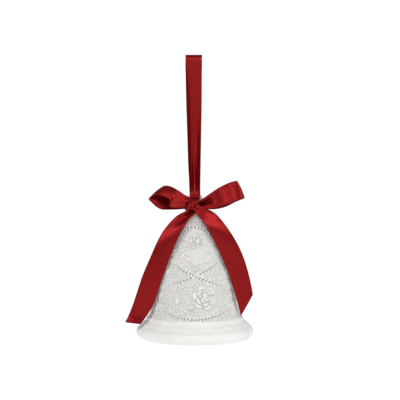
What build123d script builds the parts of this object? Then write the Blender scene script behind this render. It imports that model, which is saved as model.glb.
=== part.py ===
from build123d import *
import math
import os

# A porcelain bell ornament hanging from a satin ribbon. Millimetres, +Z up, front of the bell towards -Y.
# The origin is the underside of the fold at the top of the ribbon, where a hook carries the ornament.
# Heights named below are measured up from the bell's mouth rim, and level() turns them into Z.

os.makedirs("parts", exist_ok=True)

# Bell casting
HANG = 169.0
BELL_HEIGHT = 77.2
CROWN_INSIDE = 73.6
RIM_IN = 30.8
RIM_OUT = 33.0
LIP_R = 35.0
LIP_HEIGHT = 3.2
LIP_SHOULDER = (33.9, 5.9)
RING_FOOT = (28.5, 10.9)
RING_CREST = (28.8, 11.6)
RING_HEAD = (27.8, 12.3)
CROWN_EDGE = (10.0, 71.0)
CROWN_TURN = (7.2, 74.8)
OUTER_WALL = (RING_HEAD, (25.7, 17.2), (24.5, 22.5), (22.9, 31.5), (16.6, 51.0), (12.4, 64.0), CROWN_EDGE)
INNER_FLARE = ((23.2, 17.2), (25.2, 12.2), (28.9, 6.0))
INNER_WALL = ((6.2, 71.4), (9.7, 64.0), (13.8, 51.0), (20.1, 31.5), (21.9, 22.5), *INNER_FLARE)

# Without these a spline stretches its end slopes, and the wall loops back through itself
PLAIN_SLOPES = (1, 1)

# Crown loop, a ring set into the top of the crown
CROWN_RING_R = 4.3
CROWN_RING_ROD = 1.3
CROWN_RING_HEIGHT = 81.0

# Clapper and what it hangs on
LUG_WIDTH = 6.0
LUG_THICK = 2.4
LUG_TOP = 74.3
LUG_HOLE_R = 1.25
LUG_HOLE_HEIGHT = 69.5
LINK_R = 3.0
LINK_WIRE = 0.45
EYE_R = 1.4
EYE_WIRE = 0.4
EYE_DROP = 0.3
BALL_R = 6.5
BALL_HEIGHT = 20.0
BALL_BORE_R = 0.6
STEM_R = 0.5
STOP_BEAD_R = 1.3

# Ribbon
RIBBON_WIDTH = 12.0
RIBBON_THICK = 0.5
TAIL_THICK = 0.6
HANGER_WIDTH = 9.6
NECK_WIDTH = 6.5
THROAT_WIDTH = 3.6
HOOK_R = 4.2
STRANDS_MEET = 140.0
STRAND_GAP = 0.8
TWIST_GAP = 0.6
SWING_HEIGHT = 95.0
SWING_GAP = 1.0

# Bow
BOW_DEPTH = -6.4
KNOT_CENTRE = (-0.6, BOW_DEPTH, 80.0)
KNOT_SIZE = (7.4, 3.6, 7.4)
KNOT_EDGE = 1.4
LOOP_PINCH = 0.9
LOOP_THICK = 0.6
LOOP_ROOT_WIDTH = 5.0
LEFT_ROOT = (-5.1, BOW_DEPTH, 80.8)
RIGHT_ROOT = (4.0, BOW_DEPTH, 80.8)


def level(height):
    """Z of a height above the mouth rim."""
    return height - HANG


def lift(point):
    """A point given with its height above the mouth rim, as a vector of the part's frame."""
    x, y, height = point
    return Vector(x, y, level(height))


def outline(*points):
    """Points of the bell's outline, given as radius and height, in the plane they are drawn on."""
    return [(radius, level(height)) for radius, height in points]


def save(part, label):
    """Labels a finished piece and writes it as its own STEP file."""
    part.label = label
    export_step(part, f"parts/{label}.step")


# Bell shell: a thin casting turned from one outline, with a flared lip, a raised ring and a leaning wall
with BuildPart() as bell_shell:
    with BuildSketch(Plane.XZ):
        with BuildLine():
            Line(*outline((RIM_IN, 0), (RIM_OUT, 0)))
            ThreePointArc(*outline((RIM_OUT, 0), (LIP_R, LIP_HEIGHT), LIP_SHOULDER))
            Line(*outline(LIP_SHOULDER, RING_FOOT))
            ThreePointArc(*outline(RING_FOOT, RING_CREST, RING_HEAD))
            Spline(*outline(*OUTER_WALL))
            Spline(
                *outline(CROWN_EDGE, CROWN_TURN, (0, BELL_HEIGHT)),
                tangents=((-0.35, 1), (-1, 0)),
                tangent_scalars=PLAIN_SLOPES,
            )
            Line(*outline((0, BELL_HEIGHT), (0, CROWN_INSIDE)))
            Spline(
                *outline((0, CROWN_INSIDE), *INNER_WALL, (RIM_IN, 0)),
                tangents=((1, 0), (0.3, -1)),
                tangent_scalars=PLAIN_SLOPES,
            )
        make_face()
    revolve(axis=Axis.Z)
save(bell_shell.part, "bell_shell")

# Crown loop: a porcelain ring standing in the plane of the bow, its foot sunk into the crown
with BuildPart() as crown_loop:
    with BuildSketch(Plane.XY.offset(level(CROWN_RING_HEIGHT))):
        with Locations((CROWN_RING_R, 0)):
            Circle(CROWN_RING_ROD)
    revolve(axis=Axis((0, 0, level(CROWN_RING_HEIGHT)), (0, 1, 0)))
save(crown_loop.part, "crown_loop")

# Clapper lug: a rounded tongue under the crown with a hole from front to back
with BuildPart() as clapper_lug:
    with BuildSketch(Plane.XZ):
        with Locations((0, level(LUG_HOLE_HEIGHT))):
            Circle(LUG_WIDTH / 2)
        with Locations((0, level((LUG_HOLE_HEIGHT + LUG_TOP) / 2))):
            Rectangle(LUG_WIDTH, LUG_TOP - LUG_HOLE_HEIGHT)
        with Locations((0, level(LUG_HOLE_HEIGHT))):
            Circle(LUG_HOLE_R, mode=Mode.SUBTRACT)
    extrude(amount=LUG_THICK / 2, both=True)
save(clapper_lug.part, "clapper_lug")

# Clapper link: a closed wire ring through the lug's hole, in the plane from front to back
LINK_HEIGHT = LUG_HOLE_HEIGHT - LINK_R
with BuildPart() as clapper_link:
    with BuildSketch(Plane.XY.offset(level(LINK_HEIGHT))):
        with Locations((0, LINK_R)):
            Circle(LINK_WIRE)
    revolve(axis=Axis((0, 0, level(LINK_HEIGHT)), (1, 0, 0)))
save(clapper_link.part, "clapper_link")

# Clapper stem: a wire with an eye round the link at its top, running down through the ball
EYE_HEIGHT = LINK_HEIGHT - LINK_R - EYE_DROP
STEM_FOOT = BALL_HEIGHT - BALL_R - STOP_BEAD_R
with BuildPart() as clapper_stem:
    with BuildSketch(Plane.XY.offset(level(EYE_HEIGHT))):
        with Locations((EYE_R, 0)):
            Circle(EYE_WIRE)
    revolve(axis=Axis((0, 0, level(EYE_HEIGHT)), (0, 1, 0)))
    with BuildSketch(Plane.XY.offset(level(STEM_FOOT))):
        Circle(STEM_R)
    extrude(amount=EYE_HEIGHT - EYE_R - STEM_FOOT)
save(clapper_stem.part, "clapper_stem")

# Clapper ball: porcelain, bored for the stem
with BuildPart() as clapper_ball:
    with Locations((0, 0, level(BALL_HEIGHT))):
        Sphere(BALL_R)
        Cylinder(BALL_BORE_R, 3 * BALL_R, mode=Mode.SUBTRACT)
save(clapper_ball.part, "clapper_ball")

# Stop bead: the crimped bead under the ball that keeps it on the stem
with BuildPart() as stop_bead:
    with Locations((0, 0, level(STEM_FOOT))):
        Sphere(STOP_BEAD_R)
        Cylinder(STEM_R, 3 * STOP_BEAD_R, mode=Mode.SUBTRACT)
save(stop_bead.part, "stop_bead")


def teardrop(foot, reach, radius):
    """Closed edges along local X: two straight strands from the foot, tangent to a round end."""
    spread = math.acos(radius / math.hypot(foot, reach))
    turn = math.pi - math.atan2(foot, reach) - spread
    touch = (reach + radius * math.cos(turn), radius * math.sin(turn))
    opposite = (touch[0], -touch[1])
    with BuildLine() as drop:
        Line((0, foot), touch)
        ThreePointArc(touch, (reach + radius, 0), opposite)
        Line(opposite, (0, -foot))
        Line((0, -foot), (0, foot))
    return drop.line.edges()


# Hanging loop: the top of the ribbon, folded over the hook and closing to two strands below it
HOOK_REACH = HANG - HOOK_R - STRANDS_MEET
STRANDS_UP = Plane(origin=(0, 0, level(STRANDS_MEET)), x_dir=(0, 0, 1), z_dir=(1, 0, 0))
with BuildPart() as hanging_loop:
    with BuildSketch(STRANDS_UP):
        make_face(teardrop(STRAND_GAP / 2 + RIBBON_THICK, HOOK_REACH, HOOK_R + RIBBON_THICK))
        make_face(teardrop(STRAND_GAP / 2, HOOK_REACH, HOOK_R), mode=Mode.SUBTRACT)
    extrude(amount=HANGER_WIDTH / 2, both=True)
save(hanging_loop.part, "hanging_loop")

# Strands: front and back runs of the hanging ribbon, gathered as they come down to the knot
STRAND_TOP_OUT = (STRAND_GAP + RIBBON_THICK) / 2
STRAND_FOOT_THICK = 1.0
STRAND_FOOT_OUT = 1.0
for label, side in (("strand_front", -1), ("strand_back", 1)):
    with BuildPart() as strand:
        with BuildSketch(Plane.XY.offset(level(STRANDS_MEET - TWIST_GAP))):
            with Locations((0, side * STRAND_TOP_OUT)):
                Rectangle(HANGER_WIDTH, RIBBON_THICK)
        with BuildSketch(Plane.XY.offset(level(SWING_HEIGHT + SWING_GAP))):
            with Locations((0, side * STRAND_FOOT_OUT)):
                Rectangle(NECK_WIDTH, STRAND_FOOT_THICK)
        loft(ruled=True)
    save(strand.part, label)

# Throat: where the hanging ribbon goes through the crown loop, bunched, and up in front and behind
RING_TOP = CROWN_RING_HEIGHT + CROWN_RING_R
THROAT_THICK = 1.0
THROAT_CLEAR = 0.2
THROAT_EASE = 0.6
BAND_IN = CROWN_RING_ROD + THROAT_CLEAR
BAND_OUT = BAND_IN + THROAT_THICK
BEND_HEIGHT = RING_TOP - THROAT_EASE
JOIN_HEIGHT = 90.0
FLARE_HEIGHT = 87.6
THROAT_TOP = SWING_HEIGHT - SWING_GAP
LEG_IN = STRAND_FOOT_OUT - STRAND_FOOT_THICK / 2
LEG_OUT = STRAND_FOOT_OUT + STRAND_FOOT_THICK / 2
with BuildPart() as ribbon_throat:
    with BuildSketch(Plane.YZ):
        with BuildLine():
            ThreePointArc(
                (-BAND_OUT, level(BEND_HEIGHT)),
                (0, level(BEND_HEIGHT - BAND_OUT)),
                (BAND_OUT, level(BEND_HEIGHT)),
            )
            Polyline(
                (BAND_OUT, level(BEND_HEIGHT)),
                (BAND_OUT, level(RING_TOP)),
                (LEG_OUT, level(JOIN_HEIGHT)),
                (LEG_OUT, level(THROAT_TOP)),
                (LEG_IN, level(THROAT_TOP)),
                (LEG_IN, level(JOIN_HEIGHT)),
                (BAND_IN, level(RING_TOP + THROAT_EASE)),
                (BAND_IN, level(BEND_HEIGHT)),
            )
            ThreePointArc(
                (BAND_IN, level(BEND_HEIGHT)),
                (0, level(BEND_HEIGHT - BAND_IN)),
                (-BAND_IN, level(BEND_HEIGHT)),
            )
            Polyline(
                (-BAND_IN, level(BEND_HEIGHT)),
                (-BAND_IN, level(RING_TOP + THROAT_EASE)),
                (-LEG_IN, level(JOIN_HEIGHT)),
                (-LEG_IN, level(THROAT_TOP)),
                (-LEG_OUT, level(THROAT_TOP)),
                (-LEG_OUT, level(JOIN_HEIGHT)),
                (-BAND_OUT, level(RING_TOP)),
                (-BAND_OUT, level(BEND_HEIGHT)),
            )
        make_face()
    extrude(amount=NECK_WIDTH / 2, both=True)
    with BuildSketch(Plane.XZ):
        with BuildLine():
            Polyline(
                (-THROAT_WIDTH / 2, level(BEND_HEIGHT - 2 * BAND_OUT)),
                (THROAT_WIDTH / 2, level(BEND_HEIGHT - 2 * BAND_OUT)),
                (THROAT_WIDTH / 2, level(FLARE_HEIGHT)),
                (NECK_WIDTH / 2, level(JOIN_HEIGHT)),
                (NECK_WIDTH / 2, level(THROAT_TOP)),
                (-NECK_WIDTH / 2, level(THROAT_TOP)),
                (-NECK_WIDTH / 2, level(JOIN_HEIGHT)),
                (-THROAT_WIDTH / 2, level(FLARE_HEIGHT)),
                close=True,
            )
        make_face()
    extrude(amount=2 * BAND_OUT, both=True, mode=Mode.INTERSECT)
save(ribbon_throat.part, "ribbon_throat")

# Bow knot: the wrapped centre of the bow, in front of the crown loop
with BuildPart() as bow_knot:
    with Locations(lift(KNOT_CENTRE)):
        Box(*KNOT_SIZE)
    fillet(bow_knot.edges(), KNOT_EDGE)
save(bow_knot.part, "bow_knot")


def bow_loop(label, root, outward, across, length, half_depth):
    """One loop of the bow: ribbon out from the knot, round its tip and back, pinched narrow at the knot."""
    outward = Vector(*outward).normalized()
    across = outward.cross(Vector(*across)).cross(outward).normalized()
    side = Plane(origin=lift(root), x_dir=outward, z_dir=across)
    flat = Plane(origin=lift(root), x_dir=outward, z_dir=side.y_dir)
    reach = length - half_depth
    with BuildPart() as loop:
        with BuildSketch(side):
            make_face(teardrop(LOOP_PINCH, reach, half_depth))
            make_face(teardrop(LOOP_PINCH - LOOP_THICK, reach, half_depth - LOOP_THICK), mode=Mode.SUBTRACT)
        extrude(amount=RIBBON_WIDTH / 2, both=True)
        full_at = length / 2
        with BuildSketch(flat):
            with BuildLine():
                Polyline(
                    (0, -LOOP_ROOT_WIDTH / 2),
                    (full_at, -RIBBON_WIDTH / 2),
                    (2 * length, -RIBBON_WIDTH / 2),
                    (2 * length, RIBBON_WIDTH / 2),
                    (full_at, RIBBON_WIDTH / 2),
                    (0, LOOP_ROOT_WIDTH / 2),
                    close=True,
                )
            make_face()
        extrude(amount=2 * half_depth, both=True, mode=Mode.INTERSECT)
    save(loop.part, label)


# The left loop shows its hollow from below, the right one its broad face
bow_loop("bow_loop_left", LEFT_ROOT, (-0.94, 0.03, 0.34), (0.28, 0.63, 0.73), 21.0, 4.1)
bow_loop("bow_loop_right", RIGHT_ROOT, (0.93, 0.0, 0.36), (-0.36, 0.10, 0.93), 25.6, 2.8)


def tail(label, stations):
    """One tail of the bow, given as its outer and inner edge points from the knot to the cut end."""
    outer = [lift(station[0]) for station in stations]
    inner = [lift(station[1]) for station in stations]
    middle = [(a + b) / 2 for a, b in zip(outer, inner)]
    with BuildPart() as strip:
        for n, centre in enumerate(middle):
            run = middle[min(n + 1, len(middle) - 1)] - middle[max(n - 1, 0)]
            across = inner[n] - outer[n]
            face = across.cross(run)
            section = Plane(origin=centre, x_dir=across, z_dir=across.cross(face))
            with BuildSketch(section):
                Rectangle(across.length, TAIL_THICK)
        loft(ruled=True)
    save(strip.part, label)


tail(
    "bow_tail_left",
    (
        ((-7.1, -7.0, 75.6), (-2.2, -9.9, 73.6)),
        ((-12.5, -8.9, 72.5), (-4.8, -12.2, 69.5)),
        ((-18.5, -9.6, 65.7), (-9.5, -12.7, 63.0)),
        ((-25.6, -9.4, 51.2), (-15.8, -12.7, 47.9)),
        ((-31.6, -8.8, 36.7), (-21.1, -12.6, 32.7)),
        ((-36.3, -7.8, 22.2), (-25.6, -10.6, 19.5)),
        ((-40.8, -6.8, 10.6), (-32.2, -9.2, 9.4)),
    ),
)
tail(
    "bow_tail_right",
    (
        ((2.6, -8.9, 81.6), (-1.0, -9.3, 78.6)),
        ((8.3, -9.4, 78.3), (3.0, -10.9, 73.7)),
        ((11.9, -9.4, 75.9), (6.0, -11.4, 69.5)),
        ((21.4, -8.6, 63.7), (11.9, -11.2, 58.7)),
        ((28.6, -7.9, 49.2), (17.9, -10.6, 45.3)),
        ((32.8, -7.4, 34.7), (22.6, -10.0, 32.0)),
        ((34.3, -6.8, 26.8), (27.4, -8.8, 15.3)),
    ),
)
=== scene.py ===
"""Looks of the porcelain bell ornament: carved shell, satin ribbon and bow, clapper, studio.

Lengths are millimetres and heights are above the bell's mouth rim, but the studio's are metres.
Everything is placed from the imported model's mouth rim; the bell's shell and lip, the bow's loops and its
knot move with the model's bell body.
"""

import math

import bpy
import numpy as np
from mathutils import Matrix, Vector


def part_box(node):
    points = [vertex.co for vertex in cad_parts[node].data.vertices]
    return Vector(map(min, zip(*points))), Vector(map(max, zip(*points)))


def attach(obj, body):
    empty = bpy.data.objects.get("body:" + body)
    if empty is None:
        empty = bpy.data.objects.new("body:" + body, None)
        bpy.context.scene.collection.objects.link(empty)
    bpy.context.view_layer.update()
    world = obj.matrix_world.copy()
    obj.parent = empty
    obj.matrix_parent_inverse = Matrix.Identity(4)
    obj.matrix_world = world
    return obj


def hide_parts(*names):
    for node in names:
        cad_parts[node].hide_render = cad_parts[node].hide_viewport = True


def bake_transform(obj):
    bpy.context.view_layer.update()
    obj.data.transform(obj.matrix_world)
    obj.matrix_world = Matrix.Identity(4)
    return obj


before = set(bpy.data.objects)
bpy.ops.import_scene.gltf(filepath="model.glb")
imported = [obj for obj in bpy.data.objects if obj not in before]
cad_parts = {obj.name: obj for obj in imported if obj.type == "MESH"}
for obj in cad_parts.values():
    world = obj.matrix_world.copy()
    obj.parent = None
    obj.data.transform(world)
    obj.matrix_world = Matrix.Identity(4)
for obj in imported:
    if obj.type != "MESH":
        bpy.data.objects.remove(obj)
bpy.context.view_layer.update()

MM = 0.001
TURN = 2 * math.pi
SHELL_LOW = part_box("bell_shell")[0]
MOUTH = SHELL_LOW.z / MM  # the mouth rim's height in the frame, in mm
HANG = -MOUTH  # the hook's seat, at the frame's origin, is this far above the rim

# ---------------------------------------------------------------- driving sizes, in mm, and angles
RIBBON_WIDTH = 12.0
RIBBON_THICK = 0.34
SELVEDGE = 0.55
HEM = 0.25  # each edge of the ribbon is thicker by this share
HEM_WIDTH = 0.45
RING_TOP = 12.3  # top of the raised ring, where body and lip meet
RING_OUT = 27.8
LAP = 0.8  # the lip's inside covers the foot of the body's inside by this much
LAP_STEP = 0.05  # and stands this far in front of it
AXIS_HOLE = 0.35  # the crown's two skins stop this far from the axis
GROUND = -0.22  # the carved ground lies below the plain surface
PIT = -0.42  # the openings of the lace bands go this far below the ground
RELIEF = 1.8  # depth of the ornament, over the heights its stamps are drawn with
CAMERA_RISE = math.radians(8.0)
LENS = 400.0
SENSOR = 36.0
SHARP = math.radians(70)  # edges that turn by more than this are not smoothed
VIEW_WIDTH = 238.3  # what the picture's width covers at the bell
AIM = (3.0, 0.0, 82.4)


# ---------------------------------------------------------------- curves
def curve_through(points, knots, at, ends=None):
    """Points at the parameters at, on the cubic spline through points, whose parameters are knots."""
    points = np.asarray(points, float)
    count = len(knots)
    gap = np.diff(knots)
    matrix = np.eye(count)
    right = np.zeros_like(points)
    for i in range(1, count - 1):
        matrix[i, i - 1 : i + 2] = gap[i - 1], 2 * (gap[i - 1] + gap[i]), gap[i]
        right[i] = 6 * ((points[i + 1] - points[i]) / gap[i] - (points[i] - points[i - 1]) / gap[i - 1])
    if ends is not None:
        matrix[0, 0:2] = 2 * gap[0], gap[0]
        right[0] = 6 * ((points[1] - points[0]) / gap[0] - np.asarray(ends[0], float))
        matrix[-1, -2:] = gap[-1], 2 * gap[-1]
        right[-1] = 6 * (np.asarray(ends[1], float) - (points[-1] - points[-2]) / gap[-1])
    bend = np.linalg.solve(matrix, right)
    i = np.clip(np.searchsorted(knots, at) - 1, 0, count - 2)
    width = gap[i][:, None]
    low = (np.asarray(at) - knots[i])[:, None]
    high = width - low
    value = (bend[i] * high**3 + bend[i + 1] * low**3) / (6 * width)
    value += (points[i] / width - bend[i] * width / 6) * high
    value += (points[i + 1] / width - bend[i + 1] * width / 6) * low
    return value


def lengths(points):
    """Distance along a polyline, from its first point."""
    steps = np.linalg.norm(np.diff(np.asarray(points, float), axis=0), axis=1)
    return np.concatenate([[0.0], np.cumsum(steps)])


def evenly(points, count):
    """count points at equal distances along a polyline."""
    points = np.asarray(points, float)
    along = lengths(points)
    at = np.linspace(0, along[-1], count)
    return np.stack([np.interp(at, along, points[:, k]) for k in range(points.shape[1])], 1)


def spline(points, count, ends=None):
    """count evenly spaced points on the smooth curve through points."""
    knots = lengths(points)
    dense = np.linspace(0, knots[-1], 40 * len(points))
    return evenly(curve_through(points, knots, dense, ends), count)


def arc(first, middle, last, count):
    """count points on the circle's arc through three points of the plane."""
    (ax, ay), (bx, by), (cx, cy) = first, middle, last
    d = 2 * (ax * (by - cy) + bx * (cy - ay) + cx * (ay - by))
    ux = ((ax**2 + ay**2) * (by - cy) + (bx**2 + by**2) * (cy - ay) + (cx**2 + cy**2) * (ay - by)) / d
    uy = ((ax**2 + ay**2) * (cx - bx) + (bx**2 + by**2) * (ax - cx) + (cx**2 + cy**2) * (bx - ax)) / d
    turns = [math.atan2(y - uy, x - ux) for x, y in (first, middle, last)]
    turns = np.unwrap(turns)
    at = np.linspace(turns[0], turns[2], count)
    radius = math.hypot(ax - ux, ay - uy)
    return np.stack([ux + radius * np.cos(at), uy + radius * np.sin(at)], 1)


def smoothstep(low, high, x):
    """0 up to low, 1 from high, and a smooth rise between them."""
    t = np.clip((x - low) / (high - low), 0, 1)
    return t * t * (3 - 2 * t)


# ---------------------------------------------------------------- meshes
def make_mesh(name, verts_mm, faces, material, uv=None, values=None):
    """A smooth shaded mesh object. Heights in verts_mm are above the mouth rim."""
    verts = np.array(verts_mm, float)
    verts[:, 2] += MOUTH
    mesh = bpy.data.meshes.new(name)
    mesh.from_pydata((verts * MM).tolist(), [], faces)
    mesh.shade_smooth()
    mesh.set_sharp_from_angle(angle=SHARP)
    if uv is not None:
        layer = mesh.uv_layers.new(name="Ribbon")
        loops = np.zeros(len(mesh.loops), np.int32)
        mesh.loops.foreach_get("vertex_index", loops)
        layer.data.foreach_set("uv", np.asarray(uv, np.float32)[loops].ravel())
    # values hold the painted shade of each vertex, which the bisque material reads
    if values is not None:
        store = mesh.attributes.new("painted_shade", "FLOAT", "POINT")
        store.data.foreach_set("value", np.asarray(values, np.float32))
    mesh.materials.append(material)
    obj = bpy.data.objects.new(name, mesh)
    bpy.context.scene.collection.objects.link(obj)
    return obj


def grid_faces(rows, cols, start=0, wrap=False, flip=False):
    """Quads of a grid of rows by cols vertices, numbered along the rows."""
    faces = []
    last = cols if wrap else cols - 1
    for r in range(rows - 1):
        for c in range(last):
            a = start + r * cols + c
            b = start + r * cols + (c + 1) % cols
            face = (a, b, b + cols, a + cols)
            faces.append(face[::-1] if flip else face)
    return faces


def turned_faces(rows, columns, flip):
    """Quads of a shell turned round the axis, whose last row is joined to its first."""
    faces = grid_faces(rows, columns, wrap=True, flip=flip)
    last = (rows - 1) * columns
    for c in range(columns):
        beside = (c + 1) % columns
        face = (last + c, last + beside, beside, c)
        faces.append(face[::-1] if flip else face)
    return faces


# ---------------------------------------------------------------- materials
PORCELAIN = [(0.3, (0.77, 0.765, 0.745)), (0.7, (0.825, 0.822, 0.805))]
# painted shade: the grey that the carved hollows are darkened towards
PORCELAIN_PAINTED_SHADE = (0.50, 0.485, 0.46)
PORCELAIN_SPECK = (0.66, 0.65, 0.62)
SATIN_BODY = [(0.25, (0.205, 0.0035, 0.0040)), (0.75, (0.255, 0.0055, 0.0065))]
SATIN_CLOUD = (0.26, 0.0065, 0.0080)
SATIN_SELVEDGE = (0.13, 0.002, 0.0025)
BRASS_TONES = [(0.35, (0.46, 0.31, 0.12)), (0.65, (0.74, 0.56, 0.27))]
RIB_PITCH = 0.42  # of the weft ribs, which show in the selvedges
THREAD_PITCH = 0.30  # of the lengthwise threads between them


def nodes_of(name):
    """A new material with its node tree and its shader."""
    material = bpy.data.materials.new(name)
    material.use_nodes = True
    tree = material.node_tree
    return material, tree, tree.nodes["Principled BSDF"]


def add(tree, kind, **settings):
    """A new node; each setting is one of its inputs or one of its properties."""
    node = tree.nodes.new(kind)
    for key, value in settings.items():
        if key in node.inputs:
            node.inputs[key].default_value = value
        else:
            setattr(node, key, value)
    return node


def ramp(tree, source, stops):
    """A colour ramp over source; stops are (place, colour)."""
    node = tree.nodes.new("ShaderNodeValToRGB")
    node.color_ramp.elements[0].position = stops[0][0]
    node.color_ramp.elements[0].color = (*stops[0][1], 1)
    node.color_ramp.elements[1].position = stops[-1][0]
    node.color_ramp.elements[1].color = (*stops[-1][1], 1)
    for place, colour in stops[1:-1]:
        element = node.color_ramp.elements.new(place)
        element.color = (*colour, 1)
    tree.links.new(source, node.inputs["Fac"])
    return node.outputs["Color"]


def maths(tree, operation, first, second=0.0, third=0.0):
    node = tree.nodes.new("ShaderNodeMath")
    node.operation = operation
    for socket, value in zip(node.inputs, (first, second, third)):
        if isinstance(value, (int, float)):
            socket.default_value = value
        else:
            tree.links.new(value, socket)
    return node.outputs[0]


def mix_colour(tree, share, first, second, blend="MIX"):
    node = tree.nodes.new("ShaderNodeMix")
    node.data_type = "RGBA"
    node.blend_type = blend
    for socket, value in ((node.inputs[0], share), (node.inputs[6], first), (node.inputs[7], second)):
        if isinstance(value, (int, float)):
            socket.default_value = value
        elif isinstance(value, tuple):
            socket.default_value = (*value, 1)
        else:
            tree.links.new(value, socket)
    return node.outputs[2]


def bump(tree, shader, height, strength, distance):
    """Tilts the shader's normal by a height, for detail finer than the mesh."""
    node = add(tree, "ShaderNodeBump", Strength=strength, Distance=distance)
    tree.links.new(height, node.inputs["Height"])
    tree.links.new(node.outputs["Normal"], shader.inputs["Normal"])


def ribbon_noise(tree, across, along, scales, **settings):
    """Noise over the ribbon, with one scale per mm across it and one along it."""
    place = tree.nodes.new("ShaderNodeCombineXYZ")
    tree.links.new(maths(tree, "MULTIPLY", across, scales[0]), place.inputs[0])
    tree.links.new(maths(tree, "MULTIPLY", along, scales[1]), place.inputs[1])
    noise = add(tree, "ShaderNodeTexNoise", Scale=1.0, **settings)
    tree.links.new(place.outputs[0], noise.inputs["Vector"])
    return noise.outputs["Fac"]


def bisque():
    """Unglazed porcelain: matte off-white and a very fine grain, with painted shade greying its recesses.
    """
    material, tree, shader = nodes_of("bisque_porcelain")
    place = add(tree, "ShaderNodeTexCoord").outputs["Object"]
    cloud = add(tree, "ShaderNodeTexNoise", Scale=90.0, Detail=4.0, Roughness=0.55)
    grain = add(tree, "ShaderNodeTexNoise", Scale=2600.0, Detail=3.0, Roughness=0.6)
    pores = add(tree, "ShaderNodeTexVoronoi", Scale=1400.0)
    for node in (cloud, grain, pores):
        tree.links.new(place, node.inputs["Vector"])
    body = ramp(tree, cloud.outputs["Fac"], PORCELAIN)
    # painted shade: the colour turns grey where the carving is deep, in place of the shade in its hollows
    painted_shade = add(tree, "ShaderNodeAttribute", attribute_name="painted_shade").outputs["Fac"]
    shade = maths(tree, "MULTIPLY", painted_shade, 0.75)
    colour = mix_colour(tree, shade, body, PORCELAIN_PAINTED_SHADE)
    speck = maths(tree, "MULTIPLY", maths(tree, "LESS_THAN", pores.outputs["Distance"], 0.1), 0.12)
    colour = mix_colour(tree, speck, colour, PORCELAIN_SPECK)
    tree.links.new(colour, shader.inputs["Base Color"])
    rough = maths(tree, "MULTIPLY_ADD", grain.outputs["Fac"], 0.16, 0.70)
    tree.links.new(rough, shader.inputs["Roughness"])
    shader.inputs["Specular IOR Level"].default_value = 0.32
    shader.inputs["Subsurface Weight"].default_value = 0.06
    shader.inputs["Subsurface Radius"].default_value = (0.0012, 0.0011, 0.0010)
    bump(tree, shader, grain.outputs["Fac"], 0.35, 0.04 * MM)
    return material


def satin():
    """Double-faced red satin: fine lengthwise floats, faint weft ribs and a denser selvedge."""
    material, tree, shader = nodes_of("red_satin")
    uv = add(tree, "ShaderNodeUVMap", uv_map="Ribbon").outputs["UV"]
    split = tree.nodes.new("ShaderNodeSeparateXYZ")
    tree.links.new(uv, split.inputs[0])
    across, along = split.outputs["X"], split.outputs["Y"]
    from_middle = maths(tree, "ABSOLUTE", maths(tree, "SUBTRACT", across, RIBBON_WIDTH / 2))
    edge = maths(tree, "GREATER_THAN", from_middle, RIBBON_WIDTH / 2 - SELVEDGE)
    floats = ribbon_noise(tree, across, along, (2.4, 0.11), Detail=3.0, Roughness=0.6)
    cloud = ribbon_noise(tree, across, along, (0.12, 0.05), Detail=2.0)
    body = ramp(tree, floats, SATIN_BODY)
    colour = mix_colour(tree, maths(tree, "MULTIPLY", cloud, 0.35), body, SATIN_CLOUD)
    colour = mix_colour(tree, maths(tree, "MULTIPLY", edge, 0.40), colour, SATIN_SELVEDGE)
    tree.links.new(colour, shader.inputs["Base Color"])
    rough = maths(tree, "MULTIPLY_ADD", floats, 0.12, 0.24)
    tree.links.new(maths(tree, "MULTIPLY_ADD", edge, 0.12, rough), shader.inputs["Roughness"])
    shader.inputs["Metallic"].default_value = 0.72
    shader.inputs["Specular IOR Level"].default_value = 0.5
    shader.inputs["Specular Tint"].default_value = (1.0, 0.60, 0.60, 1)
    ribs = maths(tree, "SINE", maths(tree, "MULTIPLY", along, TURN / RIB_PITCH))
    threads = maths(tree, "SINE", maths(tree, "MULTIPLY", across, TURN / THREAD_PITCH))
    ribs = maths(tree, "MULTIPLY", ribs, edge)
    threads = maths(tree, "MULTIPLY", threads, maths(tree, "SUBTRACT", 1.0, edge))
    bump(tree, shader, maths(tree, "MULTIPLY_ADD", ribs, 1.4, threads), 0.22, 0.03 * MM)
    return material


def brass():
    """Drawn brass wire: warm, slightly dulled in patches, with faint lengthwise draw marks."""
    material, tree, shader = nodes_of("brass_wire")
    place = add(tree, "ShaderNodeTexCoord").outputs["Object"]
    stretch = add(tree, "ShaderNodeMapping")
    stretch.inputs["Scale"].default_value = (1.0, 1.0, 0.05)
    tree.links.new(place, stretch.inputs["Vector"])
    tarnish = add(tree, "ShaderNodeTexNoise", Scale=700.0, Detail=4.0)
    marks = add(tree, "ShaderNodeTexNoise", Scale=9000.0, Detail=2.0)
    tree.links.new(place, tarnish.inputs["Vector"])
    tree.links.new(stretch.outputs[0], marks.inputs["Vector"])
    colour = ramp(tree, tarnish.outputs["Fac"], BRASS_TONES)
    tree.links.new(colour, shader.inputs["Base Color"])
    shader.inputs["Metallic"].default_value = 1.0
    rough = maths(tree, "MULTIPLY_ADD", tarnish.outputs["Fac"], -0.25, 0.48)
    tree.links.new(rough, shader.inputs["Roughness"])
    bump(tree, shader, marks.outputs["Fac"], 0.3, 0.02 * MM)
    return material


BISQUE = bisque()
SATIN = satin()
BRASS = brass()

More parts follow.
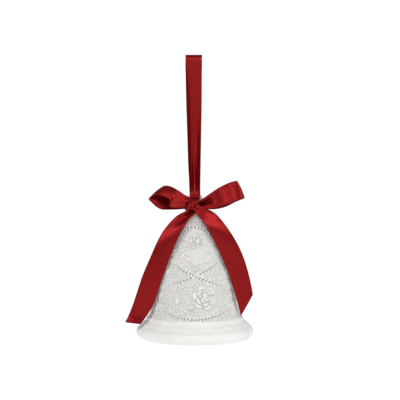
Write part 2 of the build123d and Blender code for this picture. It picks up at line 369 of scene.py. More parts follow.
# ---------------------------------------------------------------- the bell's outline, as (radius, height)
RIM_IN = 30.8
RIM_OUT = 33.0
LIP_OUTSIDE = ((RIM_OUT, 0.0), (35.0, 3.2), (33.9, 5.9))
RING = ((28.5, 10.9), (28.8, 11.6), (RING_OUT, RING_TOP))
UPPER_WALL = ((16.6, 51.0), (12.4, 64.0), (10.0, 71.0), (7.2, 74.8))
WALL_OUTSIDE = (RING[2], (25.7, 17.2), (24.5, 22.5), (22.9, 31.5), *UPPER_WALL)
FOOT_SLOPE = (-0.53, 0.85)
SHOULDER_SLOPE = (-0.8, 0.6)
CROWN_TOP = 77.2
INNER_FLARE = ((23.2, 17.2), (25.2, 12.2), (28.9, 6.0), (RIM_IN, 0.0))
INNER_WALL = ((6.2, 71.4), (9.7, 64.0), (13.8, 51.0), (20.1, 31.5), (21.9, 22.5))
WALL_INSIDE = ((0.0, 73.6), *INNER_WALL, *INNER_FLARE)
BODY_ROWS, BODY_COLUMNS, BODY_INSIDE_ROWS = 186, 480, 16
LIP_COLUMNS, LIP_INSIDE_ROWS = 720, 14
ORNAMENT_ENDS = (70.0, 73.5)  # the wall's ornament dies out between these heights
VINE_STARTS = (5.9, 6.6)  # and the lip's vine grows in and dies out between these
VINE_ENDS = (10.2, 10.8)


def wall_inside():
    return spline(WALL_INSIDE, 400, ends=((1, 0), (0.3, -0.95)))


def cut_at(profile, height, above):
    """The part of a falling profile that is above, or below, a height."""
    radius = np.interp(-height, -profile[:, 1], profile[:, 0])
    if above:
        return np.vstack([profile[profile[:, 1] > height], [[radius, height]]])
    return np.vstack([[[radius, height]], profile[profile[:, 1] < height]])


# ---------------------------------------------------------------- relief
FOLDS = 3  # the pattern repeats this often round the bell
HALF_FOLD = TURN / FOLDS / 2
FRONTS = tuple(k * 2 * HALF_FOLD for k in range(FOLDS))  # the middle of each repeat
BAND_HALF = 1.25
PITCH = 2.15  # from one opening of a lace band to the next
PIT_RIM = 0.45
PIT_FLOOR_RADIUS = 0.36
PIT_RADIUS = 0.92
PANEL_TURN = 0.12  # the plain panel is this far round from the middle of the repeat
LEAF_SPACING = 1.55
LEAF_TRIES = 2600
LEAVES_TOP = 72.5
LEAVES_FULL = 27  # at this radius no leaf is left out; above, where the bell is narrower, some are
rng = np.random.default_rng(7)


class Relief:
    """A height field over the bell's outside: columns are angles, rows are points up the profile."""

    def __init__(self, profile, columns):
        self.radius = profile[:, 0][:, None]
        self.height = profile[:, 1]
        self.along = lengths(profile)
        self.angle = np.linspace(-math.pi, math.pi, columns, endpoint=False)[None, :]
        self.value = np.zeros((len(profile), columns))

    def spot(self, angle, height):
        """Distances in mm round and up the surface, from one point of it."""
        place = np.interp(height, self.height, self.along)
        turn = (self.angle - angle + math.pi) % TURN - math.pi
        return self.radius * turn, np.repeat((self.along - place)[:, None], self.angle.shape[1], 1)

    def radius_at(self, height):
        return np.interp(height, self.height, self.radius[:, 0])

    def along_at(self, height):
        return np.interp(height, self.height, self.along)

    def raise_to(self, level):
        np.maximum(self.value, level, out=self.value)


def turned(x, y, angle):
    """The same place, seen from axes turned by angle."""
    c, s = math.cos(angle), math.sin(angle)
    return x * c + y * s, y * c - x * s


def dome(distance, radius, rise):
    """The height of a rounded boss at a distance from its middle."""
    return rise * np.sqrt(np.clip(1 - (distance / radius) ** 2, 0, 1))


def leaf(x, y, length, width, rise, veins=True):
    """A pointed leaf from the origin along +y, with a midrib and side veins."""
    part = np.clip(y / length, 0, 1)
    half = width / 2 * np.sin(math.pi * part**0.8) ** 0.75 + 1e-6
    across = np.abs(x) / half
    body = rise * np.sqrt(np.clip(1 - across**2, 0, 1)) * (y > 0) * (y < length)
    if veins:
        rib = np.exp(-((x / (0.09 * width)) ** 2))
        side = 0.5 + 0.5 * np.cos((y - 0.8 * np.abs(x)) * TURN / (0.17 * length))
        body = body * (0.62 + 0.38 * side * (1 - rib)) - 0.3 * rise * rib * (across < 1) * (body > 0)
    return body


GROOVE = -0.16  # the dark line round each petal and leaf
GROOVE_WIDTH = 0.42  # of the line round a petal


def lay_petal(field, x, y, reach, size, rise):
    """A rounded petal over whatever lies below it: cupped, with a raised rim and a groove round it."""
    distance = np.hypot(x * 1.05, y - (reach - size))
    cup = rise * (0.55 + 0.45 * smoothstep(0.25, 0.95, distance / size))
    field.value = np.where(distance < size + GROOVE_WIDTH, np.minimum(field.value, GROOVE), field.value)
    field.value = np.where(distance < size, cup, field.value)


def lay_leaf(field, x, y, length, width, rise, veins=True):
    """A leaf over whatever lies below it, with a groove round it."""
    round_it = leaf(x, y + 0.3, length + 0.6, width + 0.9, 1.0, veins=False) > 0.02
    field.value = np.where(round_it, np.minimum(field.value, GROOVE), field.value)
    field.raise_to(leaf(x, y, length, width, rise, veins=veins))


def rose(field, angle, height, size, turn=0.0):
    """A bloom: three rings of overlapping petals round a coiled middle."""
    x, y = field.spot(angle, height)
    rings = ((1.0, 0.44, 6, 0.46), (0.72, 0.36, 5, 0.54), (0.44, 0.25, 4, 0.60))
    for number, (reach, radius, petals, rise) in enumerate(rings):
        for k in range(petals):
            px, py = turned(x, y, turn + number * 0.5 + TURN * k / petals)
            lay_petal(field, px, py, size * reach, size * radius, rise)
    distance = np.hypot(x, y)
    coil = 0.46 + 0.16 * np.cos(distance * TURN / (0.15 * size) - np.arctan2(y, x))
    field.value = np.where(distance < 0.20 * size, coil, field.value)


def star_flower(field, angle, height, size, petals=8, turn=0.0):
    """An open flower of pointed veined petals round a seeded button."""
    x, y = field.spot(angle, height)
    for k in range(petals):
        px, py = turned(x, y, turn + TURN * (k + 0.5) / petals)
        lay_leaf(field, px, py, size * 0.98, size * 0.50, 0.42)
    for k in range(petals):
        px, py = turned(x, y, turn + TURN * k / petals)
        lay_leaf(field, px, py, size * 0.80, size * 0.42, 0.54)
    distance = np.hypot(x, y)
    field.raise_to(dome(distance, 0.2 * size, 0.55))
    for k in range(8):
        px, py = turned(x, y, TURN * k / 8)
        field.raise_to(dome(np.hypot(px, py - 0.2 * size), 0.075 * size, 0.58))


def stroke(field, path, half_width, rise, flat=False):
    """A raised line along points of (angle, height)."""
    radius = field.radius_at(path[:, 1])
    up = field.along_at(path[:, 1])
    for i in range(len(path) - 1):
        x, y = field.spot(path[i, 0], path[i, 1])
        ex = radius[i] * (path[i + 1, 0] - path[i, 0])
        ey = up[i + 1] - up[i]
        share = np.clip((x * ex + y * ey) / (ex * ex + ey * ey), 0, 1)
        distance = np.hypot(x - share * ex, y - share * ey)
        if flat:
            field.raise_to(rise * smoothstep(half_width, half_width - 0.35, distance))
        else:
            field.raise_to(dome(distance, half_width, rise))


def swag(centre, low, rise, reach, soft=0.8):
    """Points of (angle, height) on a hanging arc that climbs by rise over half a repeat each way.

    The arms are straight with soft near 0, and evenly curved with soft near 1.
    """
    turn = np.linspace(-reach, reach, 81)
    part = np.abs(turn) / HALF_FOLD
    climb = (np.sqrt(part**2 + soft**2) - soft) / (math.hypot(1, soft) - soft)
    return np.stack([centre + turn, low + rise * climb], 1)


def beaded(field, path):
    """A raised flat band for lace; returns the places of its openings, which pierce sinks."""
    radius = field.radius_at(path[:, 1])
    steps = np.hypot(radius[:-1] * np.diff(path[:, 0]), np.diff(field.along_at(path[:, 1])))
    total = np.concatenate([[0], np.cumsum(steps)])
    stroke(field, path, BAND_HALF, 0.40, flat=True)
    count = int(total[-1] / PITCH)
    holes = []
    for k in range(count + 1):
        at = (k + 0.5 * (total[-1] / PITCH - count)) * PITCH
        holes.append((np.interp(at, total, path[:, 0]), np.interp(at, total, path[:, 1])))
    return holes


def pierce(field, holes):
    """Sinks a steep pit at each place. Where two bands cross, only one of two close pits is kept."""
    done = []
    for angle, height in holes:
        here = np.array([math.cos(angle), math.sin(angle), 0]) * field.radius_at(height)
        here[2] = field.along_at(height)
        if any(np.linalg.norm(here - there) < 0.8 * PITCH for there in done):
            continue
        done.append(here)
        x, y = field.spot(angle, height)
        distance = np.hypot(x, y)
        pit = PIT + (PIT_RIM - PIT) * smoothstep(PIT_FLOOR_RADIUS, PIT_RADIUS, distance)
        field.value = np.where(distance < PIT_RADIUS, np.minimum(field.value, pit), field.value)


def clear_ground(field, angle, height, reach):
    """Lowers the ground under a bloom, so that its outline stands clear of the leaves round it."""
    x, y = field.spot(angle, height)
    open_to = -0.10 + 0.7 * smoothstep(0.86 * reach, 1.12 * reach, np.hypot(x, y))
    field.value = np.minimum(field.value, open_to)


def carve_body(field):
    """The wall's ornament: roses and open flowers among leaves, in panels edged with lace bands."""
    scatter_leaves(field)
    for front in FRONTS:
        side = front + HALF_FOLD
        for bloom, angle, height, size, turn in (
            (rose, front + 0.24, 27.0, 7.2, 0.3),
            (star_flower, front - 0.46, 24.6, 6.0, 0.9),
            (star_flower, front - 0.10, 21.0, 3.0, 0.4),
            (star_flower, side + 0.10, 40.6, 5.4, 0.1),
            (star_flower, side - 0.02, 16.0, 3.3, 0.5),
            (star_flower, side, 26.4, 4.0, 0.2),
            (star_flower, front + 0.03, 43.4, 2.4, 0.0),
            (rose, front + PANEL_TURN, 59.2, 4.6, 0.4),
            (rose, side, 53.0, 3.6, 0.8),
        ):
            clear_ground(field, angle, height, size)
            bloom(field, angle, height, size, turn=turn)
        for turn in (-1, 1):
            x, y = field.spot(front + turn * 0.55, 48.5)
            lay_leaf(field, *turned(x, y, turn * 0.5), 5.5, 3.0, 0.46)
            x, y = field.spot(side + turn * 0.30, 31.8)
            lay_leaf(field, *turned(x, y, turn * 0.9), 6.5, 3.2, 0.48)
    plain_panels(field)
    holes = []
    for front in FRONTS:
        holes += beaded(field, swag(front, 14.3, 5.8, math.radians(66)))
        holes += beaded(field, swag(front + HALF_FOLD, 31.8, 7.8, math.radians(104), soft=0.15))
        holes += beaded(field, swag(front, 67.6, -7.5, HALF_FOLD))
    for front in FRONTS:
        stroke(field, swag(front + 0.10, 47.2, 13.0, math.radians(32)), 0.50, 0.55)
    pierce(field, holes)


def plain_panels(field):
    """The plain rounded panel under each upper rose."""
    for front in FRONTS:
        x, y = field.spot(front + PANEL_TURN, 51.6)
        distance = np.hypot(x / 1.2, y)
        field.value = np.where(distance < 4.5, 0.5 * GROOVE, field.value)
        field.value = np.where(distance < 4.1, dome(distance, 4.6, 0.16) - 0.08, field.value)


def scatter_leaves(field):
    """Small leaves and berries that fill the ground, at a seeded scatter."""
    placed = []
    for _ in range(LEAF_TRIES):
        height = rng.uniform(field.height[0] + 1.0, LEAVES_TOP)
        angle = rng.uniform(0, TURN / FOLDS)
        radius = field.radius_at(height)
        if rng.random() > radius / LEAVES_FULL:
            continue
        here = np.array([radius * angle, field.along_at(height)])
        if all(np.hypot(*(here - there)) > LEAF_SPACING for there in placed):
            placed.append(here)
            spread_leaf(field, angle, height)


def spread_leaf(field, angle, height):
    """One small leaf, or three berries, at the same place in every repeat."""
    size = rng.uniform(2.2, 3.4)
    lean = rng.uniform(0, TURN)
    berry = rng.random() < 0.3
    for front in FRONTS:
        x, y = field.spot(angle + front, height)
        x, y = turned(x, y, lean)
        if berry:
            for bx, by in ((0.0, 0.0), (0.75, 0.45), (-0.1, 0.9)):
                field.raise_to(dome(np.hypot(x - bx, y - by), 0.5, 0.34))
        else:
            lay_leaf(field, x, y + size / 2, size, 0.5 * size, 0.40, veins=False)


def carve_lip(field):
    """A low vine round the lip: a waving stem with a spray of leaves and a curl in each bend."""
    waves = 11
    middle, swing = 8.4, 0.85
    angle = np.linspace(0, TURN, waves * 16 + 1)
    sway = np.sin(angle * waves) + 0.35 * np.sin(angle * 2 * waves + 0.7)
    stroke(field, np.stack([angle, middle + swing * sway], 1), 0.42, 0.14)
    for k in range(waves):
        top = TURN * (k + 0.25) / waves
        for turn, sign in ((top, 1), (top + math.pi / waves, -1)):
            x, y = field.spot(turn, middle - sign * 0.4)
            for lean, size in ((-1.2, 3.0), (-0.5, 2.2), (0.3, 2.6), (1.0, 3.2)):
                px, py = turned(x, sign * y, lean)
                field.raise_to(leaf(px, py, size, 0.52 * size, 0.20))
            x, y = field.spot(turn + 0.14, middle + sign * 0.6)
            ring = np.abs(np.hypot(x, y) - 0.8)
            field.raise_to(dome(ring, 0.4, 0.16))


# ---------------------------------------------------------------- bell meshes
def lathe(outside, inside, columns, values, rising):
    """Rows of points round the axis: the outside rows carry their own offsets, the inside ones none."""
    angle = np.linspace(-math.pi, math.pi, columns, endpoint=False)
    slope = np.gradient(outside, axis=0)
    slope /= np.linalg.norm(slope, axis=1)[:, None]
    out = np.stack([slope[:, 1], -slope[:, 0]], 1) * (1 if rising else -1)
    rows = []
    for i, (radius, height) in enumerate(outside):
        r = radius + out[i, 0] * values[i]
        z = height + out[i, 1] * values[i]
        rows.append(np.stack([r * np.sin(angle), -r * np.cos(angle), z + 0 * angle], 1))
    for radius, height in inside:
        rows.append(np.stack([radius * np.sin(angle), -radius * np.cos(angle), height + 0 * angle], 1))
    return rows


def painted_shade_of(value, plain, depth):
    """How much painted shade a carved place gets: 0 at the plain height and above, 1 at a depth under it.
    """
    return np.clip((plain - value) / depth, 0, 1)


def turned_shell(name, outside, inside, values, painted_shade, rising):
    """A closed bisque shell with relief on its outside, whose rows go up the bell or down it."""
    columns = values.shape[1]
    rows = lathe(outside, inside, columns, values, rising)
    # the outside rows carry the painted shade of their hollows, the inside rows none
    shade = np.zeros((len(rows), columns))
    shade[: len(outside)] = painted_shade
    faces = turned_faces(len(rows), columns, flip=not rising)
    return make_mesh(name, np.vstack(rows), faces, BISQUE, values=shade.ravel())


def bell_body():
    """The carved wall, from the raised ring to the crown, closed under its own thickness."""
    wall = spline(WALL_OUTSIDE, 600, ends=(FOOT_SLOPE, SHOULDER_SLOPE))
    top = (WALL_OUTSIDE[-1], (4.2, 76.6), (AXIS_HOLE, CROWN_TOP))
    crown = spline(top, 60, ends=(SHOULDER_SLOPE, (-1, 0)))
    outside = evenly(np.vstack([wall, crown[1:]]), BODY_ROWS)
    field = Relief(outside, BODY_COLUMNS)
    carve_body(field)
    fade = smoothstep(field.along[0] + 0.2, field.along[0] + 1.4, field.along)
    fade *= 1 - smoothstep(*ORNAMENT_ENDS, field.height)
    value = RELIEF * (GROUND + field.value) * fade[:, None]
    inside = evenly(cut_at(wall_inside(), RING_TOP, above=True), BODY_INSIDE_ROWS)
    inside[0, 0] = AXIS_HOLE
    # painted shade: deepest in the pits and on the carved ground, faint on petal tops
    painted_shade = painted_shade_of(field.value, 0.60, 0.80) * fade[:, None]
    return turned_shell("bell_body", outside, inside, value, painted_shade, rising=True)


def bell_lip():
    """The raised ring, the flared lip with its low vine, the mouth rim and the inside above it."""
    ring = arc(*RING[::-1], 12)
    flare = np.linspace(RING[0], LIP_OUTSIDE[2], 40)
    turn = arc(*LIP_OUTSIDE[::-1], 14)
    outside = np.vstack([ring, flare[1:], turn[1:]])
    hollow = evenly(cut_at(wall_inside(), RING_TOP + LAP, above=False), LIP_INSIDE_ROWS)[::-1]
    hollow[1:, 0] -= LAP_STEP
    inside = np.vstack([[[RIM_OUT - 0.5, 0.0], [RIM_IN + 0.5, 0.0]], hollow])
    field = Relief(outside[::-1], LIP_COLUMNS)
    carve_lip(field)
    fade = smoothstep(*VINE_STARTS, field.height) * (1 - smoothstep(*VINE_ENDS, field.height))
    value = ((field.value - 0.05) * fade[:, None])[::-1]
    # painted shade round the vine, half as strong as on the wall
    painted_shade = 0.5 * painted_shade_of(value, 0.12, 0.3) * fade[::-1][:, None]
    return turned_shell("bell_lip", outside, inside, value, painted_shade, rising=False)


for piece in (bell_body(), bell_lip()):
    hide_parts("bell_shell")
    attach(piece, "bell")


# ---------------------------------------------------------------- ribbons
def ribbon(name, sections, fold=None, crease=None, columns=26, step=0.55, closed=False):
    """A strip of satin between two edge curves.

    sections are pairs (one edge, other edge) of (x, y, height) in mm, in order along the ribbon.
    fold(s, t) lifts the cloth along its normal at s of its length and t of its width.
    crease(height, t) pushes it back, along +Y.
    """
    edges = np.array(sections, float)
    middle = edges.mean(1)
    knots = lengths(middle)
    dense = np.linspace(0, knots[-1], 600)
    first = curve_through(edges[:, 0], knots, dense)
    second = curve_through(edges[:, 1], knots, dense)
    both = np.hstack([first, second, dense[:, None]])
    along = lengths((first + second) / 2)
    rows = max(8, int(along[-1] / step))
    at = np.linspace(0, along[-1], rows + 1)
    both = np.stack([np.interp(at, along, both[:, k]) for k in range(6)], 1)
    share = np.linspace(0, 1, columns + 1)
    grid = both[:, None, :3] * (1 - share[None, :, None]) + both[:, None, 3:] * share[None, :, None]
    s = (at / along[-1])[:, None] + 0 * share[None, :]
    t = share[None, :] + 0 * s
    if fold is not None:
        grid = grid + normals(grid, closed) * fold(s, t)[:, :, None]
    if crease is not None:
        grid[:, :, 1] += crease(grid[:, :, 2], t)
    return cloth(name, grid, at, closed), along[-1]


def normals(grid, closed=False):
    """Unit normals of a grid of points. A closed one ends where it starts."""
    if closed:
        down = np.roll(grid, -1, 0) - np.roll(grid, 1, 0)
        down[0] = grid[1] - grid[-2]
        down[-1] = down[0]
    else:
        down = np.gradient(grid, axis=0)
    side = np.gradient(grid, axis=1)
    n = np.cross(side, down)
    return n / np.maximum(np.linalg.norm(n, axis=2), 1e-9)[:, :, None]


def cloth(name, grid, along, closed=False):
    """A closed thin solid round a grid of points, a little thicker at its two selvedges."""
    rows, cols = grid.shape[:2]
    across = np.linspace(0, RIBBON_WIDTH, cols)
    from_edge = np.minimum(across, RIBBON_WIDTH - across)
    thick = RIBBON_THICK / 2 * (1 + HEM * np.exp(-((from_edge / HEM_WIDTH) ** 2)))
    lift = normals(grid, closed) * thick[None, :, None]
    verts = np.vstack([(grid + lift).reshape(-1, 3), (grid - lift).reshape(-1, 3)])
    half = rows * cols
    faces = grid_faces(rows, cols) + grid_faces(rows, cols, start=half, flip=True)
    for r in range(rows - 1):
        a, b = r * cols, (r + 1) * cols
        faces.append((a, b, half + b, half + a))
        a, b = a + cols - 1, b + cols - 1
        faces.append((b, a, half + a, half + b))
    for c in range(cols - 1):
        faces.append((c + 1, c, half + c, half + c + 1))
        a = (rows - 1) * cols + c
        faces.append((a, a + 1, half + a + 1, half + a))
    u = np.tile(across, rows)
    v = np.repeat(along, cols)
    uv = np.tile(np.stack([u, v], 1), (2, 1))
    obj = make_mesh(name, verts, faces, SATIN, uv=uv)
    return obj


def bulge(t):
    """0 at both edges of the ribbon, 1 in its middle."""
    return 1 - (2 * t - 1) ** 2


# -------- tails: (outer edge, inner edge) from the knot to the cut end
LEFT_TAIL = (
    ((-1.0, -6.9, 79.8), (1.7, -7.3, 78.2)),
    ((-3.2, -7.8, 78.0), (0.6, -8.8, 76.0)),
    ((-7.0, -8.6, 76.3), (-2.3, -10.6, 73.1)),
    ((-10.2, -7.4, 74.4), (-4.0, -12.3, 71.1)),
    ((-14.2, -6.8, 70.6), (-6.1, -13.2, 68.5)),
    ((-18.7, -7.6, 65.0), (-9.3, -13.0, 62.9)),
    ((-25.8, -9.0, 50.9), (-15.6, -12.3, 47.7)),
    ((-31.8, -8.9, 36.4), (-21.0, -12.3, 32.5)),
    ((-36.5, -8.0, 22.0), (-25.6, -10.6, 19.3)),
    ((-41.2, -6.6, 9.9), (-32.2, -9.2, 9.0)),
)
RIGHT_TAIL = (
    ((0.9, -8.6, 81.0), (-0.9, -8.6, 79.3)),
    ((1.9, -10.2, 80.9), (-1.1, -10.3, 78.7)),
    ((3.4, -10.5, 80.1), (-0.1, -10.9, 77.2)),
    ((5.6, -9.4, 78.8), (1.4, -11.9, 75.3)),
    ((8.5, -7.8, 77.4), (3.6, -12.8, 72.8)),
    ((11.9, -6.6, 75.2), (6.3, -13.2, 69.3)),
    ((16.6, -7.2, 70.2), (8.8, -12.6, 64.9)),
    ((21.6, -8.4, 63.4), (11.9, -11.6, 58.8)),
    ((28.9, -7.9, 49.0), (17.9, -10.6, 45.3)),
    ((33.0, -7.4, 34.5), (22.6, -10.0, 31.8)),
    ((34.5, -6.8, 26.4), (27.3, -8.8, 13.9)),
)


def left_tail_fold(s, t):
    start = np.exp(-(((s - 0.07) / 0.09) ** 2))
    crease = -2.2 * np.exp(-(((t - 0.48) / 0.22) ** 2)) * start
    ridge = 1.1 * np.exp(-(((t - 0.90) / 0.16) ** 2)) * start
    cup = 0.35 * bulge(t) * smoothstep(0.1, 0.35, s)
    wave = 0.30 * np.sin(7.0 * s + 1.0) * (t - 0.5)
    curl = 1.5 * smoothstep(0.93, 1.0, s) ** 1.5 * (1 - 0.3 * t)
    return -(crease + ridge + cup + wave + curl)


def right_tail_fold(s, t):
    start = np.exp(-((s / 0.12) ** 2))
    ridge = 0.8 * np.exp(-(((t - 0.2) / 0.2) ** 2)) * start
    crease = -0.7 * np.exp(-(((t - 0.65) / 0.14) ** 2)) * start
    cup = 0.45 * bulge(t) * smoothstep(0.08, 0.3, s)
    wave = 0.3 * np.sin(6.0 * s + 2.6) * (t - 0.5)
    return ridge + crease + cup + wave


def tail(name, sections, fold, node):
    obj, length = ribbon(name, sections, fold)
    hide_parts(node)
    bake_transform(obj)


# -------- bow loops: (near edge, far edge) from the knot out to the fold and back
LEFT_LOOP = (
    ((-1.8, -6.6, 78.6), (-1.6, -5.0, 83.4)),
    ((-4.2, -8.0, 78.4), (-3.4, -5.2, 85.0)),
    ((-7.4, -9.4, 78.8), (-5.4, -5.0, 86.0)),
    ((-12.6, -10.6, 79.3), (-7.8, -4.2, 87.3)),
    ((-15.0, -10.8, 80.4), (-9.6, -3.6, 88.4)),
    ((-14.8, -10.4, 83.0), (-11.6, -3.1, 89.5)),
    ((-18.3, -9.8, 85.7), (-15.3, -2.4, 91.0)),
    ((-21.9, -9.6, 86.7), (-17.7, -2.1, 91.2)),
    ((-24.9, -9.5, 86.0), (-18.8, -2.1, 90.9)),
    ((-26.8, -9.4, 85.0), (-19.3, -2.2, 90.6)),
    ((-27.5, -9.3, 84.4), (-19.5, -2.4, 90.2)),
    ((-27.0, -9.4, 83.6), (-19.2, -2.6, 89.6)),
    ((-24.0, -9.6, 80.7), (-17.0, -3.0, 87.0)),
    ((-20.1, -9.6, 78.3), (-13.8, -3.2, 83.8)),
    ((-16.6, -9.2, 78.0), (-11.4, -3.4, 82.0)),
    ((-10.9, -8.2, 78.0), (-8.0, -3.8, 81.2)),
    ((-6.4, -7.2, 78.2), (-4.8, -4.2, 80.8)),
    ((-1.8, -6.0, 78.6), (-1.6, -4.8, 80.8)),
)
RIGHT_LOOP = (
    ((0.9, -6.6, 81.9), (1.1, -6.4, 78.2)),
    ((3.1, -8.0, 83.4), (3.6, -7.8, 78.0)),
    ((6.6, -9.0, 85.9), (7.7, -9.2, 78.3)),
    ((11.0, -8.7, 89.0), (12.8, -10.4, 79.3)),
    ((15.3, -8.3, 91.6), (18.4, -10.9, 81.0)),
    ((19.7, -7.8, 93.6), (23.7, -10.5, 83.0)),
    ((23.3, -7.2, 94.7), (27.8, -9.1, 84.3)),
    ((24.9, -6.8, 94.9), (29.5, -7.3, 84.5)),
    ((24.2, -5.7, 94.3), (28.4, -6.2, 83.8)),
    ((20.5, -4.4, 92.2), (24.1, -5.1, 81.9)),
    ((15.2, -3.6, 88.4), (18.8, -4.8, 79.2)),
    ((11.4, -3.4, 85.8), (14.4, -4.8, 77.9)),
    ((7.0, -4.0, 83.2), (9.6, -5.4, 77.5)),
    ((1.0, -5.0, 81.0), (1.4, -5.8, 77.9)),
)


def left_loop_fold(s, t):
    near_start = np.exp(-((s / 0.14) ** 2))
    near_end = np.exp(-(((1 - s) / 0.14) ** 2))
    pleat = 0.55 * np.cos(t * TURN * 1.5 + 0.6)
    full = 0.5 * bulge(t) * smoothstep(0.12, 0.3, s) * (1 - smoothstep(0.7, 0.88, s))
    return pleat * (near_start + near_end) + full


def right_loop_fold(s, t):
    near_start = np.exp(-((s / 0.20) ** 2))
    near_end = np.exp(-(((1 - s) / 0.14) ** 2))
    wedge = 1 - smoothstep(0.12, 0.25, s)
    valley = -2.8 * np.exp(-(((t - 0.44) / (0.12 + 0.6 * s)) ** 2)) * wedge
    ridge = 1.0 * np.exp(-(((t - 0.82) / 0.15) ** 2)) * near_start
    pleat = 0.5 * np.cos(t * TURN * 1.5) * near_end
    dent = -0.28 * np.exp(-(((s - 0.335 - 0.02 * t) / 0.050) ** 2))
    full = 0.45 * bulge(t) * smoothstep(0.15, 0.3, s) * (1 - smoothstep(0.7, 0.9, s))
    return valley + ridge + pleat + dent + full


def bow_loop(name, sections, fold, node):
    obj, length = ribbon(name, sections, fold)
    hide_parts(node)
    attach(obj, "bell")


# -------- knot: one turn of ribbon round the gathered middle of the bow
KNOT = (-1.7, -7.0, 80.4)
KNOT_DEEP = 2.2
KNOT_TALL = 2.4
KNOT_WIDE = 5.2
KNOT_LEAN = 1.7


def knot_sections():
    """Pairs of edge points round an upright oval, leaning from upper right to lower left."""
    sections = []
    for turn in np.linspace(0, TURN, 25):
        y = KNOT[1] + KNOT_DEEP * math.cos(turn + math.pi)
        z = KNOT[2] + KNOT_TALL * math.sin(turn)
        lean = KNOT_LEAN * math.sin(turn)
        left = (KNOT[0] - KNOT_WIDE / 2 + lean, y, z)
        right = (KNOT[0] + KNOT_WIDE / 2 + lean, y, z)
        sections.append((left, right))
    return sections


def knot_fold(s, t):
    swell = 1.05 * bulge(t) ** 0.6
    pleats = 0.26 * np.cos(TURN * 3.0 * t + 1.2 * np.sin(TURN * s))
    return swell + pleats


def bow_knot():
    obj, length = ribbon("bow_knot_wrap", knot_sections(), knot_fold, columns=30, step=0.4, closed=True)
    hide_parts("bow_knot")
    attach(obj, "bell")


# -------- hanging ribbon: over the hook, down as two strands, and under the crown loop
SEAM = 118.0  # the two lengths of the hanging ribbon meet here
STRAND_GAP = 0.65  # from the middle plane to each strand
HOOK_RADIUS = 4.45
THROAT_DEEP = 2.3
THROAT_DROP = 1.5
THROAT_HEIGHT = 83.5
THROAT_HALF = 1.8
THROAT_END_HALF = 2.8
OPENING_FROM = 140.0  # above this the two strands part round the hook
STRAND_HEIGHTS = (85, 95, 104, 121, 139, 163, 169)
STRAND_LEFT = (-3.1, -3.4, -3.9, -4.4, -5.0, -5.5, -5.6)
STRAND_RIGHT = (3.2, 3.2, 3.3, 3.6, 3.9, 4.1, 4.2)


def strand_edges(height):
    """The left and right edge of the hanging ribbon, narrowing towards the knot."""
    left = np.interp(height, STRAND_HEIGHTS, STRAND_LEFT)
    right = np.interp(height, STRAND_HEIGHTS, STRAND_RIGHT)
    return left, right


def front_section(height, y):
    """The front strand's two edge points, at y in front of the middle plane."""
    left, right = strand_edges(height)
    return (left, -y, height), (right, -y, height)


def behind(sections):
    """The same sections on the back strand, in the opposite order."""
    back = []
    for left, right in sections[::-1]:
        back.append(((left[0], -left[1], left[2]), (right[0], -right[1], right[2])))
    return back


def upper_sections():
    """Up the front strand from the seam, over the hook and down the back strand."""
    front = [front_section(height, STRAND_GAP) for height in (SEAM, 122, 128, 134, OPENING_FROM)]
    centre = HANG - HOOK_RADIUS + 0.2
    for part in (0.2, 0.4, 0.6, 0.8):
        height = OPENING_FROM + (centre - OPENING_FROM) * part
        y = STRAND_GAP + (HOOK_RADIUS - STRAND_GAP) * smoothstep(0, 1, part)
        front.append(front_section(height, y))
    sections = list(front)
    for turn in np.linspace(0, math.pi, 9):
        left, right = strand_edges(HANG)
        y, z = -HOOK_RADIUS * math.cos(turn), centre + HOOK_RADIUS * math.sin(turn)
        sections.append(((left, y, z), (right, y, z)))
    return sections + behind(front)


def lower_sections():
    """Down the front strand from the seam, under the crown loop and up the back strand."""
    front = []
    for height in (SEAM, 113, 108, 103, 98, 94, 91, 88.5, 86.4, 84.8):
        y = np.interp(height, (86.4, 94, 105), (THROAT_DEEP, 1.0, STRAND_GAP))
        front.append(front_section(height, y))
    sections = list(front)
    for turn in np.linspace(0, math.pi, 9):
        y, z = -THROAT_DEEP * math.cos(turn), THROAT_HEIGHT - THROAT_DROP * math.sin(turn)
        half = THROAT_HALF + (THROAT_END_HALF - THROAT_HALF) * math.cos(turn) ** 2
        sections.append(((-half, y, z), (half, y, z)))
    return sections + behind(front)


def lengthwise_creases(height, t):
    """Both strands are creased together: one deep crease that wanders to the middle, and fine pleats."""
    where = np.interp(height, (96, 118, 165), (0.50, 0.40, 0.24))
    valley = np.where(t < where, t / where, (1 - t) / (1 - where))
    valley = 1 - (1 - valley) ** 1.5
    deep = np.interp(height, (86.5, 91, 100, 120, 150, 160, 168), (0.0, 0.9, 1.9, 2.6, 2.5, 1.8, 0.0))
    pleats = 0.5 - 0.5 * np.cos(TURN * 2.0 * t + 0.35)
    pleat_deep = np.interp(height, (85, 88, 93, 104, 120, 140), (0.1, 1.2, 1.8, 1.3, 0.5, 0.0))
    return deep * valley + pleat_deep * pleats


def hanging_ribbons():
    upper, length = ribbon("hanging_ribbon_upper", upper_sections(), crease=lengthwise_creases, columns=40)
    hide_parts("hanging_loop")
    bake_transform(upper)
    lower, length = ribbon("hanging_ribbon_lower", lower_sections(), crease=lengthwise_creases, columns=40)
    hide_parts("strand_front", "strand_back", "ribbon_throat")
    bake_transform(lower)


hanging_ribbons()
bow_loop("bow_loop_left_satin", LEFT_LOOP, left_loop_fold, "bow_loop_left")
bow_loop("bow_loop_right_satin", RIGHT_LOOP, right_loop_fold, "bow_loop_right")
bow_knot()
tail("bow_tail_left_satin", LEFT_TAIL, left_tail_fold, "bow_tail_left")
tail("bow_tail_right_satin", RIGHT_TAIL, right_tail_fold, "bow_tail_right")

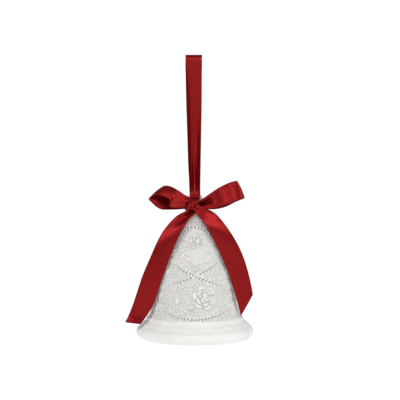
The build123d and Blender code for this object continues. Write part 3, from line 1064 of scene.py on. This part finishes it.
# ---------------------------------------------------------------- CAD pieces that stay
FINISHES = {
    "crown_loop": BISQUE,
    "clapper_lug": BISQUE,
    "clapper_ball": BISQUE,
    "clapper_link": BRASS,
    "clapper_stem": BRASS,
    "stop_bead": BRASS,
}
for node, material in FINISHES.items():
    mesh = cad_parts[node].data
    mesh.materials.clear()
    mesh.materials.append(material)


# ---------------------------------------------------------------- studio, in metres
FLOOR_REACH = 6.0
FLOOR_DROP = -0.09  # the floor is this far from the mouth rim
MIDDLE = (0.0, 0.0, (AIM[2] + MOUTH) * MM)
LIGHTS = (
    ("top", (0.08, -0.45, 0.78), (1.20, 0.24), 3.5),
    ("left", (-0.86, -0.46, 0.46), (0.24, 0.24), 2.1),
    ("right", (0.86, -0.42, 0.46), (0.26, 0.24), 2.3),
    ("front", (0.14, -1.00, 0.30), (0.30, 0.22), 1.5),
)


def floor():
    """A plain pale floor."""
    material, tree, shader = nodes_of("studio_floor")
    shader.inputs["Base Color"].default_value = (0.18, 0.18, 0.18, 1)
    shader.inputs["Emission Color"].default_value = (1, 1, 1, 1)
    shader.inputs["Emission Strength"].default_value = 0.96
    shader.inputs["Roughness"].default_value = 0.9
    shader.inputs["Specular IOR Level"].default_value = 0.1
    mesh = bpy.data.meshes.new("studio_floor")
    corners = [(FLOOR_REACH * x, FLOOR_REACH * y) for x, y in ((-1, -1), (1, -1), (1, 1), (-1, 1))]
    level = SHELL_LOW.z + FLOOR_DROP
    mesh.from_pydata([(x, y, level) for x, y in corners], [], [(0, 1, 2, 3)])
    mesh.materials.append(material)
    obj = bpy.data.objects.new("studio_floor", mesh)
    bpy.context.scene.collection.objects.link(obj)


def softbox(name, place, size, power):
    """A rectangular light that faces the middle of the ornament."""
    data = bpy.data.lights.new(name, "AREA")
    data.shape = "RECTANGLE"
    data.size, data.size_y = size
    data.energy = power
    obj = bpy.data.objects.new(name, data)
    obj.location = place
    obj.rotation_euler = (Vector(MIDDLE) - Vector(place)).to_track_quat("-Z", "Y").to_euler()
    bpy.context.scene.collection.objects.link(obj)


def sky():
    """A studio round the object: bright below and at eye level, dimmer overhead."""
    world = bpy.data.worlds.new("studio")
    world.use_nodes = True
    tree = world.node_tree
    background = tree.nodes["Background"]
    direction = add(tree, "ShaderNodeTexCoord").outputs["Generated"]
    split = tree.nodes.new("ShaderNodeSeparateXYZ")
    tree.links.new(direction, split.inputs[0])
    up = maths(tree, "MULTIPLY_ADD", split.outputs["Z"], 0.5, 0.5)
    bright, dim = (1.0, 1.0, 1.0), (0.36, 0.36, 0.36)
    colour = ramp(tree, up, [(0.0, bright), (0.52, bright), (0.58, dim), (1.0, dim)])
    tree.links.new(colour, background.inputs["Color"])
    background.inputs["Strength"].default_value = 1.03
    bpy.context.scene.world = world


def camera():
    """A long lens from the front, a little above the ornament."""
    data = bpy.data.cameras.new("camera")
    data.lens = LENS
    data.sensor_width = SENSOR
    distance = VIEW_WIDTH * LENS / SENSOR
    target = Vector((AIM[0], AIM[1], AIM[2] + MOUTH)) * MM
    back = Vector((0, -math.cos(CAMERA_RISE), math.sin(CAMERA_RISE)))
    data.clip_start, data.clip_end = 0.05, 40.0
    obj = bpy.data.objects.new("camera", data)
    obj.location = target + back * distance * MM
    obj.rotation_euler = (-back).to_track_quat("-Z", "Y").to_euler()
    bpy.context.scene.collection.objects.link(obj)
    bpy.context.scene.camera = obj


floor()
sky()
camera()
for light in LIGHTS:
    softbox(*light)
bpy.context.scene.view_settings.view_transform = "Standard"
